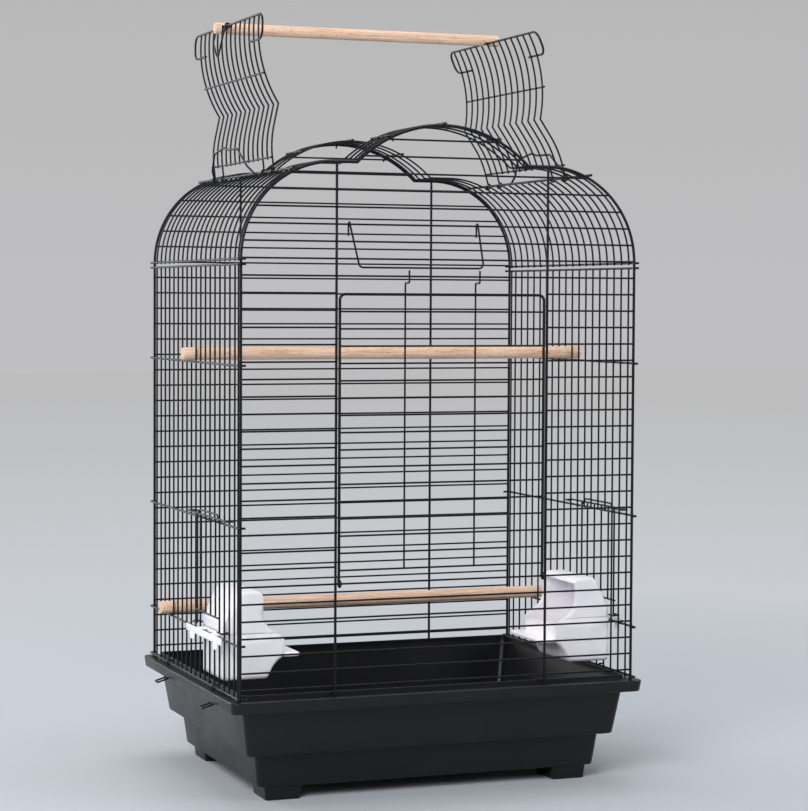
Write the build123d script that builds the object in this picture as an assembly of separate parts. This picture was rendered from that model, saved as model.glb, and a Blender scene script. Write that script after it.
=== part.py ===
# Wire bird cage with a stepped tray, a drop-down front door, two hooded feeders
# and a roof that opens as two flaps with a play perch laid across them.
# Millimetres. +Z up, +X right, the front door faces -Y.
# The origin lies on the floor, under the middle of the tray.
from build123d import *
from math import acos, asin, atan2, cos, degrees, radians, sin, sqrt
import os

# Tray
TRAY_HEIGHT = 112.5
RIM_MARGINS = (10.0, 9.0)
RIM_HEIGHT = 12.0
RIM_CORNER = 9.0
TRAY_WALL = 2.4
UPPER_WALL_INSET = 15.5
UPPER_WALL_HEIGHT = 49.0
LOWER_WALL_STEP = 12.0
LOWER_WALL_HEIGHT = 36.5
WALL_TAPER = 9.0
LIP_HEIGHT = 5.0
LIP_WALL = 2.0
FOOT_LENGTH = 41.0
FOOT_WIDTH = 48.0
FOOT_INSETS = (8.0, 3.0)
FOOT_TAPER = 1.5
FOOT_CORNER = 3.0

# Wire cage, measured between wire centres
CAGE_LENGTH = 450.0
CAGE_DEPTH = 344.0
SHOULDER_HEIGHT = 456.5
SHOULDER_RADIUS = 103.0
VALLEY_FLAT = 24.0
DOME_RISE = 40.5
SEAT_GAP = 0.3

# Wire diameters
FRAME_WIRE = 3.0
STIFFENER_WIRE = 2.8
CROSS_WIRE = 2.4
BAR_WIRE = 2.0
WELD_DEPTH = 0.4
WIRE_GAP = 0.5
PIVOT_GAP = 0.3

# Front and back panels
BAR_PITCH = 17.85
FIRST_BAR = 11.5
STIFFENER_IN = 2.0
DOORWAY_FIRST_BAR = 6
DOORWAY_LAST_BAR = 24
PANEL_DROP = 1.4
DOME_CUT = 2.0

# Side panels
SIDE_PITCH = 18.1
SIDE_EDGE_GAP = 1.0
SIDE_CROSS_HEIGHTS = (3.2, 58.0, 180.0, 347.0)
SIDE_TOP_DROP = 5.5
HOOK_TAIL = 7.0
HOOK_BEND = 1.8

# Roof flaps
FLAP_BARS = 14
FLAP_PITCH = 16.7
FLAP_LIFT = 1.0
FLAP_END_X = 13.5
HINGE_OUT = 46.0
FLAP_START = 11.0
EAR_WIDTH = 18.0
EAR_DEPTH = 25.0
EAR_BEND = 10.0
EAR_TAIL = 44.0
FLAP_CROSS_REACH = 28.0
LEFT_FLAP_OPEN = 78.0
RIGHT_FLAP_OPEN = 56.0
STRIP_RODS_X = (-62.0, 0.0, 62.0)

# Stays that stop the flaps
STAY_FOOT_SPAN = 150.0
STAY_CREST = ((-25.0, 29.0), (10.0, 30.0), (26.0, 33.0), (64.0, 28.0))
STAY_CENTRE_Y = 27.0
STAY_LEAN = 6.4
STAY_KNEE = 9.0
STAY_BEND = 4.0

# Perches
PERCH_DIAMETER = 14.0
PERCH_OVERHANG = 13.0
UPPER_PERCH_STEPS = 0
LOWER_PERCH_STEPS = 5
PLAY_PERCH_DIAMETER = 12.5
PLAY_PERCH_OVERHANGS = (10.0, 16.0)
LEFT_NOTCH_DEPTH = 9.3
RIGHT_NOTCH_DEPTH = 4.1
PERCH_CHAMFER = 0.8
PERCH_GAP = 0.3

# Front door and its bail
DOOR_SIDE_GAP = 0.9
DOOR_TOP_DROP = 19.0
DOOR_FIRST_RISE = 13.5
DOOR_BEND = 6.0
DOOR_RODS_X = (-42.0, 38.0)
DOOR_PLANE_IN = 2.0
HOOK_REACH = 6.0
BAIL_BAR = 27
BAIL_DROP = 44.7
BAIL_TOP_X = (-107.0, 37.0)
BAIL_BOTTOM_X = (-96.0, 44.0)
BAIL_BEND = 5.0
BAIL_TAIL = 12.0

# Feeders and their sliding doors
FEEDER_STEPS = 4
OPENING_STEPS = 2.5
FEEDER_DOOR_GAP = 3.2
FEEDER_DOOR_STANDOFF = 6.0
FEEDER_DOOR_FOOT = 65.0
FEEDER_DOOR_SILL = 80.0
FEEDER_DOOR_TOP = 184.5
FEEDER_GRIP_RISE = 4.0
FEEDER_GRIP_HALF = 40.0
FEEDER_GRIP_CREST = 33.0
GRIP_BEND = 6.0
CUP_SIDE_GAP = 1.25
CUP_WALL = 1.8
CUP_GAP = 0.6
CUP_BOTTOM = 13.0
CUP_FLOOR_DEPTH = 45.0
CUP_KNEE = 4.5
CUP_WAIST = 2.8
CUP_FRONT_DEPTH = 65.5
CUP_LIP = 55.0
CUP_TOP = 62.0
CUP_TOP_DEPTH = 58.5
SHELF_DEPTH = 84.0
SHELF_LOW = 36.0
SHELF_HIGH = 40.0
SHELF_CORNER = 6.0
BRIDGE_WIDTH = 9.0
BRIDGE_THICKNESS = 2.4
BRIDGE_OFFSET = 27.15
FLANGE_WIDTH = 130.0
FLANGE_HEIGHT = 7.5
FLANGE_THICKNESS = 2.2
FLANGE_STANDOFF = 10.0
FLANGE_TAB = 7.0
FLANGE_TAB_OFFSET = 43.5
HOOD_MOUTH_DEPTH = 42.0
HOOD_MOUTH_HEIGHT = 81.0
HOOD_BOW = 2.5
HOOD_CREST = 101.0
HOOD_TOP = 107.0
HOOD_BACK_DEPTH = 13.0
HOOD_BACK_HEIGHT = 72.0
HOOD_FRONT_RADIUS = 6.0

# Tray clips
CLIP_STEPS = 5
CLIP_GAP = 0.6
CLIP_SLOT = 3.4
CLIP_DROP = 13.5
CLIP_RING_LENGTH = 13.0
CLIP_RING_WIDTH = 11.0
CLIP_DROOP = 4.0
CLIP_BEND = 1.5
CLIP_ARM = 6.0

# Roof latch
LATCH_SPAN = 33.4
LATCH_DROP = 16.0
LATCH_LOOP = 19.0
LATCH_STANDOFF = 4.0
LATCH_BEND = 5.0
LATCH_EYE = (-30, 260)
DOOR_EYE = (100, 360)
BAIL_EYE = (0, 180)
FLAP_EYE_TURN = 300

# Places worked out from the sizes above
RIM_Z = TRAY_HEIGHT
SHOULDER_Z = RIM_Z + SHOULDER_HEIGHT
VALLEY_Z = SHOULDER_Z + SHOULDER_RADIUS
SHOULDER_X = CAGE_LENGTH / 2 - SHOULDER_RADIUS
TRAY_LENGTH = CAGE_LENGTH + 2 * RIM_MARGINS[0]
TRAY_DEPTH = CAGE_DEPTH + 2 * RIM_MARGINS[1]
DOME_HALF_WIDTH = SHOULDER_X - VALLEY_FLAT
DOME_RADIUS = (DOME_HALF_WIDTH**2 + DOME_RISE**2) / (2 * DOME_RISE)
DOME_CENTRE_Z = VALLEY_Z + DOME_RISE - DOME_RADIUS
PANEL_Y = CAGE_DEPTH / 2
FRAME_Y = PANEL_Y - (BAR_WIRE + FRAME_WIRE) / 2 + WELD_DEPTH
STIFFENER_Y = PANEL_Y - (BAR_WIRE + STIFFENER_WIRE) / 2 + WELD_DEPTH
SIDE_X = CAGE_LENGTH / 2
CROSS_X = SIDE_X + (BAR_WIRE + CROSS_WIRE) / 2 - WELD_DEPTH
HOOK_Y = PANEL_Y + (BAR_WIRE + CROSS_WIRE) / 2 + WIRE_GAP
HINGE_X = SHOULDER_X + HINGE_OUT
STIFFENER_X = SHOULDER_X - STIFFENER_IN
DOOR_SIDE_X = STIFFENER_X - (STIFFENER_WIRE + FRAME_WIRE) / 2 - DOOR_SIDE_GAP
SIDE_EDGE_Y = FRAME_Y - (FRAME_WIRE + BAR_WIRE) / 2 - SIDE_EDGE_GAP
SIDE_BARS = int(2 * SIDE_EDGE_Y / SIDE_PITCH)
PANEL_BASE_Z = RIM_Z + SEAT_GAP
SIDE_BAR_Y = [SIDE_PITCH * (i - (SIDE_BARS - 1) / 2) for i in range(SIDE_BARS)]
FLAP_BAR_Y = [FLAP_PITCH * (i - (FLAP_BARS - 1) / 2) for i in range(FLAP_BARS)]
FLAP_HALF_Y = FLAP_BAR_Y[-1]
PLAY_PERCH_Y = FLAP_PITCH
PERCH_LENGTH = CAGE_LENGTH + 2 * PERCH_OVERHANG
CLIP_X = CROSS_X + (CROSS_WIRE + BAR_WIRE) / 2 + CLIP_GAP


def gap_y(steps):
    """Middle of the gap between two side bars, a number of pitches behind the middle one."""
    return SIDE_PITCH * (steps + SIDE_BARS % 2 / 2)


UPPER_PERCH_Y = gap_y(UPPER_PERCH_STEPS)
LOWER_PERCH_Y = gap_y(LOWER_PERCH_STEPS)
CLIP_Y = gap_y(CLIP_STEPS)
FEEDER_Y = -gap_y(FEEDER_STEPS)
FEEDER_HALF_OPENING = OPENING_STEPS * SIDE_PITCH
CUP_WIDTH = 2 * (FEEDER_HALF_OPENING - CUP_SIDE_GAP) - BAR_WIRE


def bar_z(index):
    """Height of one horizontal bar of the front and back panels."""
    return RIM_Z + FIRST_BAR + BAR_PITCH * index


def rod(start, end, diameter):
    """A straight wire between two points."""
    a, b = Vector(*start), Vector(*end)
    return Solid.make_cylinder(diameter / 2, (b - a).length, Plane(origin=a, z_dir=b - a))


def bent_wire(points, bend, diameter):
    """A wire along straight runs joined by tangent arcs."""
    return swept(FilletPolyline(*points, radius=bend), diameter)


def swept(path, diameter):
    """A round wire swept along a path."""
    section = Plane(origin=path @ 0, z_dir=path % 0) * Circle(diameter / 2)
    return sweep(section, path=path).solid()


def weld(pieces):
    """One solid from wires that cross at their welds."""
    pieces = list(pieces)
    joined = pieces[0].fuse(*pieces[1:])
    solids = joined.solids() if not isinstance(joined, Solid) else [joined]
    assert len(solids) == 1, f"weld left {len(solids)} solids"
    return solids[0]


def half_width(z, inset=0.0):
    """Half the width of the scalloped outline at a height."""
    radius = SHOULDER_RADIUS - inset
    if z <= SHOULDER_Z:
        return CAGE_LENGTH / 2 - inset
    if z < VALLEY_Z - inset:
        return SHOULDER_X + sqrt(radius**2 - (z - SHOULDER_Z) ** 2)
    return sqrt((DOME_RADIUS - inset) ** 2 - (z - DOME_CENTRE_Z) ** 2)


def valley_x(lift):
    """Where the dome arc meets the flat of the valley, for a profile raised by lift."""
    return sqrt((DOME_RADIUS + lift) ** 2 - (VALLEY_Z + lift - DOME_CENTRE_Z) ** 2)


def roof_flat(y, lift, side, x_start=None):
    """Edges from the shoulder's foot, or from a place on its arc, to the valley."""
    radius = SHOULDER_RADIUS + lift
    start_angle = 0.0 if x_start is None else acos((x_start - SHOULDER_X) / radius)
    middle_angle = (start_angle + radians(90)) / 2
    arc = [(side * (SHOULDER_X + radius * cos(a)), SHOULDER_Z + radius * sin(a))
           for a in (start_angle, middle_angle, radians(90))]
    valley = (side * valley_x(lift), VALLEY_Z + lift)
    return [arc_xz(y, *arc), line_xz(y, arc[-1], valley)]


def line_xz(y, start, end):
    return Edge.make_line((start[0], y, start[1]), (end[0], y, end[1]))


def arc_xz(y, start, middle, end):
    points = [(p[0], y, p[1]) for p in (start, middle, end)]
    return Edge.make_three_point_arc(*points)


def dome_arc(y, lift, x_from, x_to):
    """Part of the dome arc between two X places."""
    radius = DOME_RADIUS + lift
    turn_from = asin(x_from / radius)
    turn_to = asin(x_to / radius)
    turns = (turn_from, (turn_from + turn_to) / 2, turn_to)
    points = [(radius * sin(t), DOME_CENTRE_Z + radius * cos(t)) for t in turns]
    return arc_xz(y, *points)


def roof_point(x, lift):
    """A point of the roof's outline and the outward normal there."""
    side = 1 if x >= 0 else -1
    if abs(x) <= DOME_HALF_WIDTH:
        turn = asin(x / DOME_RADIUS)
        centre = (0.0, DOME_CENTRE_Z)
        radius = DOME_RADIUS
    elif abs(x) <= SHOULDER_X:
        return (x, VALLEY_Z + lift), (0.0, 1.0)
    else:
        turn = side * asin((abs(x) - SHOULDER_X) / SHOULDER_RADIUS)
        centre = (side * SHOULDER_X, SHOULDER_Z)
        radius = SHOULDER_RADIUS
    normal = (sin(turn), cos(turn))
    reach = radius + lift
    return (centre[0] + reach * normal[0], centre[1] + reach * normal[1]), normal


def scalloped_edge(y, z_base, diameter, lift):
    """The perimeter wire of a front or back panel."""
    pieces = []
    for side in (-1, 1):
        corner_x = SHOULDER_X + SHOULDER_RADIUS + lift
        upright = line_xz(y, (side * corner_x, z_base), (side * corner_x, SHOULDER_Z))
        pieces.append(swept(Wire([upright] + roof_flat(y, lift, side)), diameter))
        knee = (side * valley_x(lift), y, VALLEY_Z + lift)
        pieces.append(Pos(*knee) * Solid.make_sphere(diameter / 2))
    end = valley_x(lift)
    pieces.append(swept(Wire([dome_arc(y, lift, -end, end)]), diameter))
    return pieces


def hooked_rod(x, z, side, diameter):
    """A rod across a side whose ends hook round the corner wires."""
    inner = x - side * HOOK_TAIL
    points = [(inner, -HOOK_Y, z), (x, -HOOK_Y, z), (x, HOOK_Y, z), (inner, HOOK_Y, z)]
    return bent_wire(points, HOOK_BEND, diameter)


def panel_bar(index, side_y, x_from=None, x_to=None):
    """One horizontal bar, cut to the outline unless ends are given."""
    z = bar_z(index)
    reach = half_width(z, PANEL_DROP)
    start = -reach if x_from is None else x_from
    end = reach if x_to is None else x_to
    return rod((start, side_y * PANEL_Y, z), (end, side_y * PANEL_Y, z), BAR_WIRE)


def bar_count():
    """Bars that fit under the dome."""
    top = DOME_CENTRE_Z + DOME_RADIUS - PANEL_DROP - FRAME_WIRE - BAR_WIRE
    return int((top - bar_z(0)) / BAR_PITCH) + 1


def dome_cut():
    """Height just above the valleys, moved up past a bar that it would slice."""
    z = VALLEY_Z + DOME_CUT
    bar = bar_z(round((z - bar_z(0)) / BAR_PITCH))
    return bar + BAR_WIRE if abs(z - bar) < BAR_WIRE else z


def parted(grille):
    """A scalloped grille cut just above the valleys: the field below and the dome."""
    plane = Plane.XY.offset(dome_cut())
    return [split(grille, bisect_by=plane, keep=keep).solid() for keep in (Keep.BOTTOM, Keep.TOP)]


def stiffener_top():
    """Height at which a stiffener ends in the perimeter wire."""
    (_, top), _ = roof_point(STIFFENER_X, -PANEL_DROP)
    return top


def back_panel():
    """Bars from edge to edge, a scalloped perimeter and two stiffeners."""
    pieces = [panel_bar(i, 1) for i in range(bar_count())]
    pieces += scalloped_edge(FRAME_Y, PANEL_BASE_Z, FRAME_WIRE, -PANEL_DROP)
    for x in (-STIFFENER_X, STIFFENER_X):
        top = stiffener_top()
        pieces.append(rod((x, STIFFENER_Y, PANEL_BASE_Z), (x, STIFFENER_Y, top), STIFFENER_WIRE))
    return parted(weld(pieces))


def front_split():
    """Heights where the front panel is parted, half a pitch past the doorway's bars."""
    return bar_z(DOORWAY_FIRST_BAR) + BAR_PITCH / 2, bar_z(DOORWAY_LAST_BAR) - BAR_PITCH / 2


def front_panel():
    """The front grille as flat fields round the doorway, and its dome."""
    low, high = front_split()
    edge_x = half_width(RIM_Z, PANEL_DROP)
    uprights = [(-edge_x, -FRAME_Y, FRAME_WIRE), (edge_x, -FRAME_Y, FRAME_WIRE)]
    uprights += [(x, -STIFFENER_Y, STIFFENER_WIRE) for x in (-STIFFENER_X, STIFFENER_X)]

    lower = [panel_bar(i, -1) for i in range(DOORWAY_FIRST_BAR + 1)]
    lower += [rod((x, y, PANEL_BASE_Z), (x, y, low), dia) for x, y, dia in uprights]

    upper = [panel_bar(i, -1) for i in range(DOORWAY_LAST_BAR, bar_count())]
    upper += scalloped_edge(-FRAME_Y, high, FRAME_WIRE, -PANEL_DROP)
    for x in (-STIFFENER_X, STIFFENER_X):
        top = stiffener_top()
        upper.append(rod((x, -STIFFENER_Y, high), (x, -STIFFENER_Y, top), STIFFENER_WIRE))

    fields = [weld(lower)] + parted(weld(upper))
    for side in (-1, 1):
        inner, outer = side * STIFFENER_X, side * edge_x
        field = [rod((outer, -FRAME_Y, low), (outer, -FRAME_Y, high), FRAME_WIRE)]
        field.append(rod((inner, -STIFFENER_Y, low), (inner, -STIFFENER_Y, high), STIFFENER_WIRE))
        for i in range(DOORWAY_FIRST_BAR + 1, DOORWAY_LAST_BAR):
            field.append(panel_bar(i, -1, min(inner, outer), max(inner, outer)))
        fields.append(weld(field))
    return fields


def side_panel(side):
    """Upright bars and hooked cross wires as four flat fields round the feeder opening."""
    front_cut = FEEDER_Y - FEEDER_HALF_OPENING + BAR_WIRE
    back_cut = FEEDER_Y + FEEDER_HALF_OPENING - BAR_WIRE
    heights = [RIM_Z + h for h in SIDE_CROSS_HEIGHTS] + [SHOULDER_Z - SIDE_TOP_DROP]
    foot, sill, lintel, top = heights[0], heights[1], heights[2], heights[-1]
    x, cross = side * SIDE_X, side * CROSS_X
    inner = cross - side * HOOK_TAIL

    ends = {-1: [], 1: []}
    for end, cut in ((-1, front_cut), (1, back_cut)):
        bars = [y for y in SIDE_BAR_Y if (y < cut if end < 0 else y > cut)]
        ends[end] += [rod((x, y, PANEL_BASE_Z), (x, y, top), BAR_WIRE) for y in bars]
        edge = (x, end * SIDE_EDGE_Y)
        ends[end].append(rod((*edge, PANEL_BASE_Z), (*edge, top), BAR_WIRE))
        for z in heights:
            points = [(inner, end * HOOK_Y, z), (cross, end * HOOK_Y, z), (cross, cut, z)]
            ends[end].append(bent_wire(points, HOOK_BEND, CROSS_WIRE))

    middle = [y for y in SIDE_BAR_Y if front_cut < y < back_cut]
    low = [rod((x, y, PANEL_BASE_Z), (x, y, sill), BAR_WIRE) for y in middle]
    low += [rod((cross, front_cut, z), (cross, back_cut, z), CROSS_WIRE) for z in (foot, sill)]
    high = [rod((x, y, lintel), (x, y, top), BAR_WIRE) for y in middle]
    high += [rod((cross, front_cut, z), (cross, back_cut, z), CROSS_WIRE) for z in heights[2:]]
    return [weld(ends[-1]), weld(ends[1]), weld(low), weld(high)]


def hinge_rod_place(side):
    """X and Z of the rod that a roof flap turns on."""
    lift = (BAR_WIRE + STIFFENER_WIRE) / 2 - WELD_DEPTH
    point, _ = roof_point(side * HINGE_X, lift)
    return point


def roof_rod(x, z, y_from, y_to, diameter):
    return rod((x, y_from, z), (x, y_to, z), diameter)


def shoulder(side):
    """Quarter-round field of bent wires between the side panel and the hinge rod."""
    base = SHOULDER_Z - BAR_WIRE
    begin = (side * SIDE_X, SHOULDER_Z)
    turn = asin((HINGE_X - SHOULDER_X) / SHOULDER_RADIUS)
    end_angle = radians(90) - turn
    middle_angle = end_angle / 2
    arc = [(side * (SHOULDER_X + SHOULDER_RADIUS * cos(a)), SHOULDER_Z + SHOULDER_RADIUS * sin(a))
           for a in (middle_angle, end_angle)]
    path = Wire([line_xz(0, (begin[0], base), begin), arc_xz(0, begin, arc[0], arc[1])])
    bow = swept(path, BAR_WIRE)
    places = [-SIDE_EDGE_Y] + SIDE_BAR_Y + [SIDE_EDGE_Y]
    pieces = [Pos(0, y, 0) * bow for y in places]
    pieces.append(hooked_rod(side * CROSS_X, SHOULDER_Z, side, CROSS_WIRE))
    x, z = hinge_rod_place(side)
    pieces.append(roof_rod(x, z, -HOOK_Y, HOOK_Y, STIFFENER_WIRE))
    return weld(pieces)


def roof_strip(end):
    """Wires over the dome beside the front or back panel, with short cross rods."""
    places = [y for y in SIDE_BAR_Y + [SIDE_EDGE_Y] if y > FLAP_HALF_Y + BAR_WIRE]
    start_x = HINGE_X - STIFFENER_WIRE / 2
    pieces = []
    for y in places:
        for side in (-1, 1):
            pieces.append(swept(Wire(roof_flat(end * y, 0.0, side, start_x)), BAR_WIRE))
            knee = (side * valley_x(0.0), end * y, VALLEY_Z)
            pieces.append(Pos(*knee) * Solid.make_sphere(BAR_WIRE / 2))
        arc = dome_arc(end * y, 0.0, -valley_x(0.0), valley_x(0.0))
        pieces.append(swept(Wire([arc]), BAR_WIRE))
    lift = BAR_WIRE - WELD_DEPTH
    for x in STRIP_RODS_X:
        (rod_x, rod_z), normal = roof_point(x, lift)
        drop = HOOK_TAIL
        tip = (rod_x - drop * normal[0], end * HOOK_Y, rod_z - drop * normal[1])
        corner = (rod_x, end * HOOK_Y, rod_z)
        start = (rod_x, end * (places[0] - BAR_WIRE), rod_z)
        pieces.append(bent_wire([start, corner, tip], HOOK_BEND, BAR_WIRE))
    return weld(pieces)


def flap_opened(shape, side):
    """A closed flap's shape turned to the place it rests at when open."""
    x, z = hinge_rod_place(side)
    turn = side * (RIGHT_FLAP_OPEN if side > 0 else LEFT_FLAP_OPEN)
    return Pos(x, 0, z) * Rot(0, turn, 0) * Pos(-x, 0, -z) * shape


def flap_edge_points():
    """Middle of the top edge wire and of its tails on a closed right flap."""
    weld_lift = FLAP_LIFT + (BAR_WIRE + CROSS_WIRE) / 2 - WELD_DEPTH
    top, _ = roof_point(FLAP_END_X, weld_lift)
    tail, _ = roof_point(FLAP_END_X + EAR_DEPTH, weld_lift)
    return top, tail


def eye(place, facing, pin, wire, first, last):
    """A wire eye round a rod; its angles are measured from the facing direction upwards."""
    radius = (pin + wire) / 2 + PIVOT_GAP
    across = Vector(*facing)
    plane = Plane(origin=place, x_dir=across, z_dir=across.cross(Vector(0, 0, 1)))
    return swept(Wire([Edge.make_circle(radius, plane, first, last)]), wire)


def roof_flap(side):
    """Bent wires on two cross wires, with an eared top edge and hinge eyes."""
    lift = FLAP_LIFT
    start_x = HINGE_X - FLAP_START
    bow = swept(Wire(roof_flat(0, lift, side, start_x)), BAR_WIRE)
    crown = dome_arc(0, lift, side * FLAP_END_X, side * valley_x(lift))
    crown = swept(Wire([crown]), BAR_WIRE)
    knee = Pos(side * valley_x(lift), 0, VALLEY_Z + lift) * Solid.make_sphere(BAR_WIRE / 2)
    pieces = []
    for y in FLAP_BAR_Y:
        pieces += [Pos(0, y, 0) * piece for piece in (bow, crown, knee)]

    weld_lift = lift + BAR_WIRE - WELD_DEPTH
    reach = FLAP_HALF_Y + BAR_WIRE
    for x in (start_x - BAR_WIRE, DOME_HALF_WIDTH - FLAP_CROSS_REACH):
        (cx, cz), _ = roof_point(side * x, weld_lift)
        pieces.append(roof_rod(cx, cz, -reach, reach, BAR_WIRE))

    top, tail = flap_edge_points()
    ear = FLAP_HALF_Y + EAR_WIDTH
    tail_y = ear - EAR_TAIL
    points = [(side * tail[0], -tail_y, tail[1]), (side * tail[0], -ear, tail[1]),
              (side * top[0], -ear, top[1]), (side * top[0], ear, top[1]),
              (side * tail[0], ear, tail[1]), (side * tail[0], tail_y, tail[1])]
    pieces.append(bent_wire(points, EAR_BEND, CROSS_WIRE))

    x, z = hinge_rod_place(side)
    (bx, bz), _ = roof_point(side * start_x, lift)
    reach = (STIFFENER_WIRE + BAR_WIRE) / 2 + PIVOT_GAP
    direction = Vector(bx - x, 0, bz - z).normalized()
    heading = degrees(atan2(direction.Z, -side * direction.X))
    for y in (FLAP_BAR_Y[0], FLAP_BAR_Y[2], FLAP_BAR_Y[-3], FLAP_BAR_Y[-1]):
        ring = eye((x, y, z), (-side, 0, 0), STIFFENER_WIRE, BAR_WIRE, heading,
                   heading + FLAP_EYE_TURN)
        near = (x + direction.X * reach, y, z + direction.Z * reach)
        pieces += [ring, rod(near, (bx, y, bz), BAR_WIRE)]
        pieces.append(Pos(*near) * Solid.make_sphere(BAR_WIRE / 2))
        pieces.append(Pos(bx, y, bz) * Solid.make_sphere(BAR_WIRE / 2))
    return flap_opened(weld(pieces), side)


def flap_stay(side):
    """Bent wire that stands outside a flap, its feet curled over the shoulder's wires."""
    x, z = hinge_rod_place(side)
    centre = -side * STAY_CENTRE_Y
    foot = STAY_FOOT_SPAN / 2
    base_x = x + side * (STIFFENER_WIRE + CROSS_WIRE) / 2
    top_x = x + side * STAY_LEAN
    points = []
    for crest, end in ((STAY_CREST[0], -foot), (STAY_CREST[-1], foot)):
        knee = end + (crest[0] - end) * STAY_KNEE / crest[1]
        leg = [(base_x, centre + end, z), (top_x, centre + knee, z + STAY_KNEE)]
        points.append(leg)
    path = points[0] + [(top_x, centre + y, z + rise) for y, rise in STAY_CREST] + points[1][::-1]
    return bent_wire(path, STAY_BEND, CROSS_WIRE)


def perch(diameter, length, place):
    """A round wooden rod along X with chamfered ends."""
    plane = Plane(origin=(-length / 2, 0, 0), z_dir=(1, 0, 0))
    body = Solid.make_cylinder(diameter / 2, length, plane)
    body = chamfer(body.edges().filter_by(GeomType.CIRCLE), PERCH_CHAMFER)
    return Pos(*place) * body


def side_perch(y, cross_index):
    """A perch whose ends pass between the side bars and lie on a cross wire."""
    rest = RIM_Z + SIDE_CROSS_HEIGHTS[cross_index] + CROSS_WIRE / 2 + PERCH_GAP
    return perch(PERCH_DIAMETER, PERCH_LENGTH, (0, y, rest + PERCH_DIAMETER / 2))


def opened_edge(side):
    """Where a flap's top edge wire lies when the flap is open."""
    (top_x, top_z), _ = flap_edge_points()
    x, z = hinge_rod_place(side)
    turn = radians(side * (RIGHT_FLAP_OPEN if side > 0 else LEFT_FLAP_OPEN))
    dx, dz = side * top_x - x, top_z - z
    return x + dx * cos(turn) + dz * sin(turn), z - dx * sin(turn) + dz * cos(turn)


def play_perch():
    """The perch laid over both open flaps, with a notch over each edge wire."""
    (left_x, left_z), (right_x, right_z) = opened_edge(-1), opened_edge(1)
    start, end = left_x - PLAY_PERCH_OVERHANGS[0], right_x + PLAY_PERCH_OVERHANGS[1]
    cover = PLAY_PERCH_DIAMETER / 2 + CROSS_WIRE / 2 + PERCH_GAP
    left_z += cover - LEFT_NOTCH_DEPTH
    right_z += cover - RIGHT_NOTCH_DEPTH
    slope = degrees(atan2(right_z - left_z, right_x - left_x))
    body = perch(PLAY_PERCH_DIAMETER, end - start, (0, 0, 0))
    slot = CROSS_WIRE + 2 * (BAR_WIRE + PERCH_GAP)
    middle = (start + end) / 2
    for x, depth in ((left_x - middle, LEFT_NOTCH_DEPTH), (right_x - middle, RIGHT_NOTCH_DEPTH)):
        cutter = Pos(x, 0, -PLAY_PERCH_DIAMETER / 2) * Box(slot, PLAY_PERCH_DIAMETER * 2, depth * 2)
        body = body - cutter
    height = left_z + (right_z - left_z) * (middle - left_x) / (right_x - left_x)
    return Pos(middle, PLAY_PERCH_Y, height) * Rot(0, -slope, 0) * body.solid()


def roof_latch():
    """Wire clip that hangs from the left flap's edge and hooks the right one when closed."""
    x, z = opened_edge(-1)
    half = LATCH_SPAN / 2
    ring = (CROSS_WIRE + BAR_WIRE) / 2 + PIVOT_GAP
    out = x - ring
    pieces = []
    front, middle, back = PLAY_PERCH_Y - half, PLAY_PERCH_Y, PLAY_PERCH_Y + half
    for y in (front, back):
        pieces.append(eye((x, y, z), (-1, 0, 0), CROSS_WIRE, BAR_WIRE, *LATCH_EYE))
    low = z - LATCH_DROP
    foot = out - LATCH_STANDOFF
    points = [(out, front, z), (foot, front, low), (foot, middle, low - LATCH_LOOP),
              (foot, back, low), (out, back, z)]
    pieces.append(bent_wire(points, LATCH_BEND, BAR_WIRE))
    return weld(pieces)


def door_places():
    """Hinge bar height, lowest and highest door wire, and the plane of its bars."""
    hinge_z = bar_z(DOORWAY_FIRST_BAR)
    bottom = hinge_z + DOOR_FIRST_RISE
    top = bar_z(DOORWAY_LAST_BAR) - DOOR_TOP_DROP
    return hinge_z, bottom, top, -PANEL_Y + DOOR_PLANE_IN


def front_door():
    """Drop-down door: frame, bars, two hooked rods and eyes round the hinge bar."""
    hinge_z, bottom, top, frame_y = door_places()
    bars_y = frame_y + (BAR_WIRE + FRAME_WIRE) / 2 - WELD_DEPTH
    side = DOOR_SIDE_X
    foot_y = -PANEL_Y + (BAR_WIRE + FRAME_WIRE) / 2 + PIVOT_GAP
    points = [(-side, foot_y, hinge_z), (-side, frame_y, bottom), (-side, frame_y, top),
              (side, frame_y, top), (side, frame_y, bottom), (side, foot_y, hinge_z)]
    pieces = [bent_wire(points, DOOR_BEND, FRAME_WIRE)]
    for x in (-side, side):
        pieces.append(eye((x, -PANEL_Y, hinge_z), (0, 1, 0), BAR_WIRE, FRAME_WIRE, *DOOR_EYE))
        pieces.append(Pos(x, foot_y, hinge_z) * Solid.make_sphere(FRAME_WIRE / 2))
    count = DOORWAY_LAST_BAR - DOORWAY_FIRST_BAR - 1
    pitch = (top - bottom) / (count - 1)
    for i in range(count - 1):
        z = bottom + pitch * i
        pieces.append(rod((-side, bars_y, z), (side, bars_y, z), BAR_WIRE))
    rods_y = bars_y + BAR_WIRE - WELD_DEPTH
    header = bar_z(DOORWAY_LAST_BAR)
    below = header - BAR_WIRE - DOOR_TOP_DROP / 4
    front_y = -PANEL_Y - HOOK_REACH
    tip = bar_z(BAIL_BAR) - BAIL_DROP - BAR_WIRE - WIRE_GAP
    for x in DOOR_RODS_X:
        hook = [(x, rods_y, bottom - BAR_WIRE / 2), (x, rods_y, below), (x, front_y, below),
                (x, front_y, tip)]
        pieces.append(bent_wire(hook, BAR_WIRE, BAR_WIRE))
    return weld(pieces)


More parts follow.
